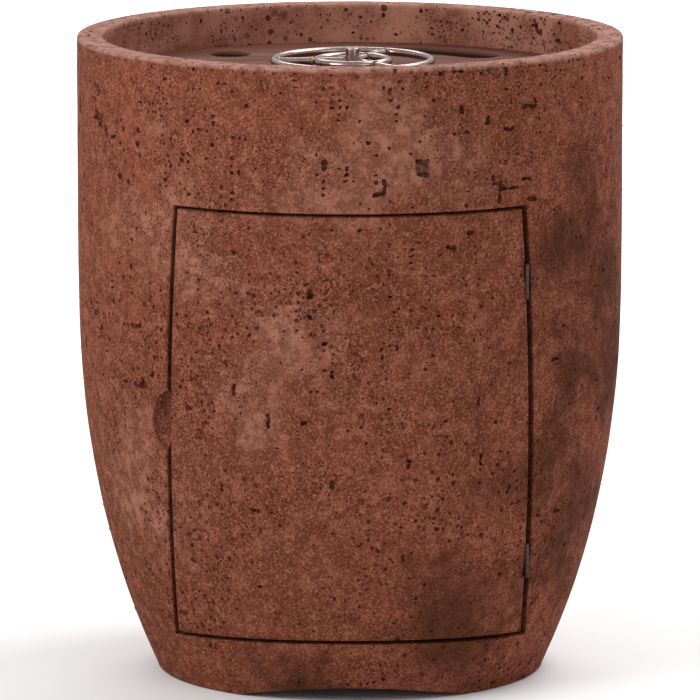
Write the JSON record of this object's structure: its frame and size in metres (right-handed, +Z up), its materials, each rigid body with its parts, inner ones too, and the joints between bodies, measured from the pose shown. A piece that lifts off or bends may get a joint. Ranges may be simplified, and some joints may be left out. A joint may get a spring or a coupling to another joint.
{
  "type": "fire column",
  "caption": "Round tapered fire column in cast concrete, with a gas ring burner in its shallow bowl and a hinged cabinet door over the space for the gas cylinder.",
  "frame": {"origin": "on the floor under the centre of the column", "axes": "+Z up, -Y towards the cabinet door, +X towards the door's hinges"},
  "size_m": [0.533, 0.533, 0.626],
  "materials": {
    "cast_concrete": "red-brown cast concrete, pitted like travertine, with pale mineral bloom",
    "bowl_concrete": "mauve-brown cast concrete, trowelled smooth",
    "stainless": "polished stainless tube, lightly heat tinted",
    "steel": "dulled bare steel",
    "brass": "machined brass",
    "zinc": "zinc plated",
    "black_plastic": "black, finely grained"
  },
  "bodies": {
    "column": {"body_shell": "cast_concrete", "burner_deck": "bowl_concrete", "burner_plate": "bowl_concrete", "outer_burner_ring": "stainless", "inner_burner_ring": "stainless", "burner_hub": "stainless", "hub_flange": "stainless", "inner_spoke_1": "stainless", "outer_spoke_1": "stainless", "inner_spoke_2": "stainless", "outer_spoke_2": "stainless", "inner_spoke_3": "stainless", "outer_spoke_3": "stainless", "inlet_nipple": "steel", "plate_washer": "zinc", "lock_nut": "zinc", "air_mixer": "brass", "gas_orifice": "brass", "valve_body": "brass", "valve_panel_nut": "zinc", "inlet_fitting": "brass", "gas_line": "steel", "valve_flare_nut": "brass", "mixer_flare_nut": "brass", "control_bracket": "zinc", "bracket_screw_1": "zinc", "bracket_screw_2": "zinc", "magnet_catch": "black_plastic", "catch_screw_1": "zinc", "catch_screw_2": "zinc", "lower_hinge_body_leaf": "steel", "lower_hinge_pin": "steel", "lower_hinge_body_screw_1": "steel", "lower_hinge_body_screw_2": "steel", "upper_hinge_body_leaf": "steel", "upper_hinge_pin": "steel", "upper_hinge_body_screw_1": "steel", "upper_hinge_body_screw_2": "steel"},
    "door": {"door_panel": "cast_concrete", "strike_plate": "zinc", "strike_screw_1": "zinc", "strike_screw_2": "zinc", "lower_hinge_door_leaf": "steel", "lower_hinge_door_screw_1": "steel", "lower_hinge_door_screw_2": "steel", "upper_hinge_door_leaf": "steel", "upper_hinge_door_screw_1": "steel", "upper_hinge_door_screw_2": "steel"},
    "knob": {"valve_stem": "steel", "valve_knob": "black_plastic"}
  },
  "joints": [
    {"name": "door_hinge", "type": "hinge", "parent": "column", "child": "door", "pos_m": [0.1706, -0.16658, 0.1355], "axis": [-0.0067, -0.1427, 0.9897], "range_deg": [0, 80]},
    {"name": "valve_turn", "type": "hinge", "parent": "column", "child": "knob", "pos_m": [-0.028, -0.176, 0.492], "axis": [0, -1, 0], "range_deg": [0, 90]}
  ]
}
